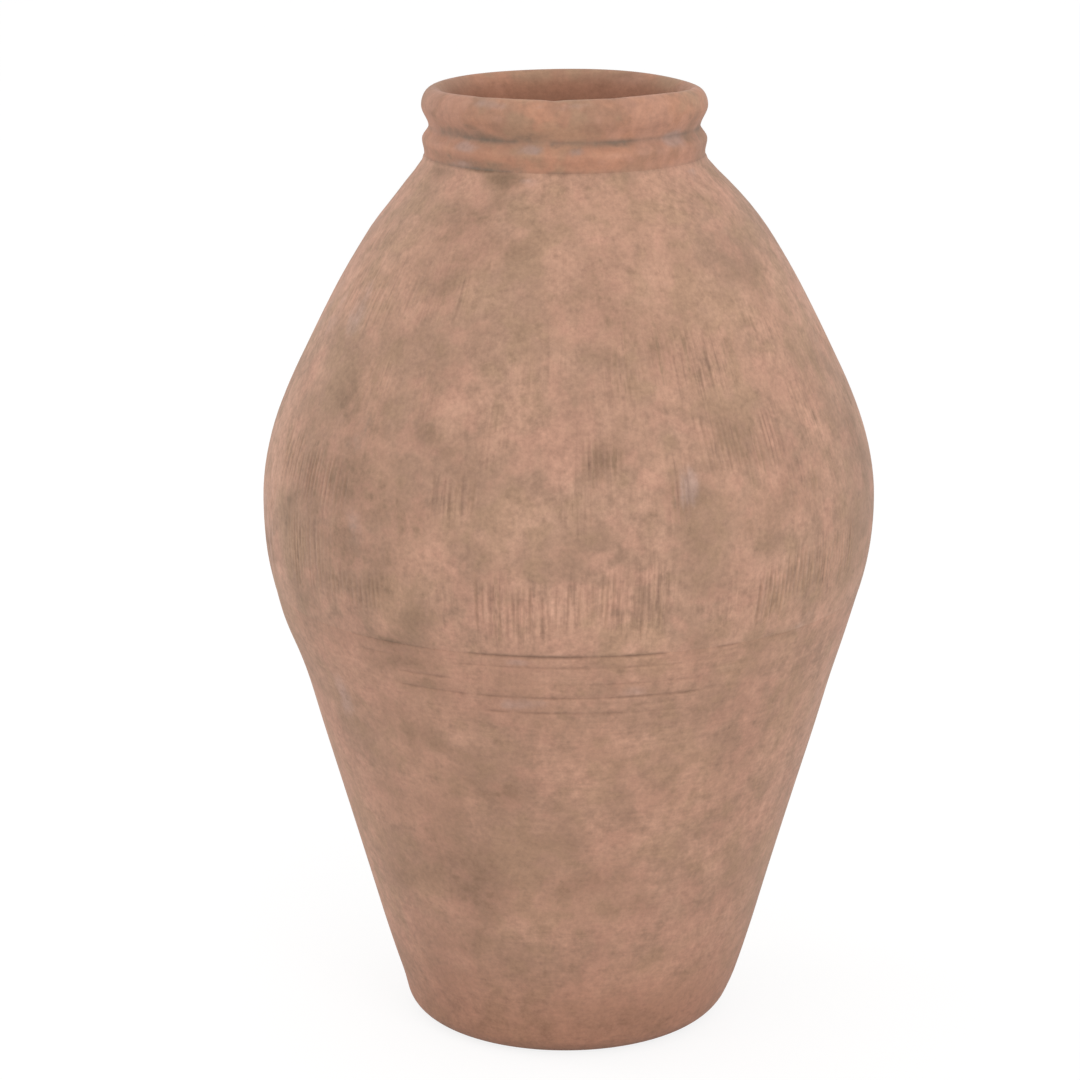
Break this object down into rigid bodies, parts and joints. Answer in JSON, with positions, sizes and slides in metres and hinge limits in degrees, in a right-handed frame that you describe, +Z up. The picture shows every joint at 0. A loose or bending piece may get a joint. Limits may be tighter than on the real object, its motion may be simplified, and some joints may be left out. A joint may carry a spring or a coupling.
{
  "type": "terracotta floor jar",
  "caption": "Tall hand-thrown terracotta jar: tapering foot, wide high belly, steep shoulder and a short neck with a bead and a rolled lip.",
  "frame": {"origin": "centre of the flat underside, where the jar stands on the floor", "axes": "+Z up along the jar's axis of turning; the jar is round, so X and Y are free"},
  "size_m": [0.3852, 0.3852, 0.6],
  "materials": {
    "fired_clay": "dry unglazed terracotta, salmon to grey-brown, combed and smoke-stained",
    "lip_clay": "dry unglazed terracotta, wiped smooth while wet",
    "inside_clay": "raw terracotta, redder and finger-smeared"
  },
  "bodies": {
    "root": {"base_disc": "fired_clay", "lower_wall": "fired_clay", "upper_wall": "fired_clay", "neck_ring": "lip_clay", "rim_roll": "lip_clay", "floor_coil": "inside_clay", "seam_coil": "inside_clay"}
  },
  "joints": []
}
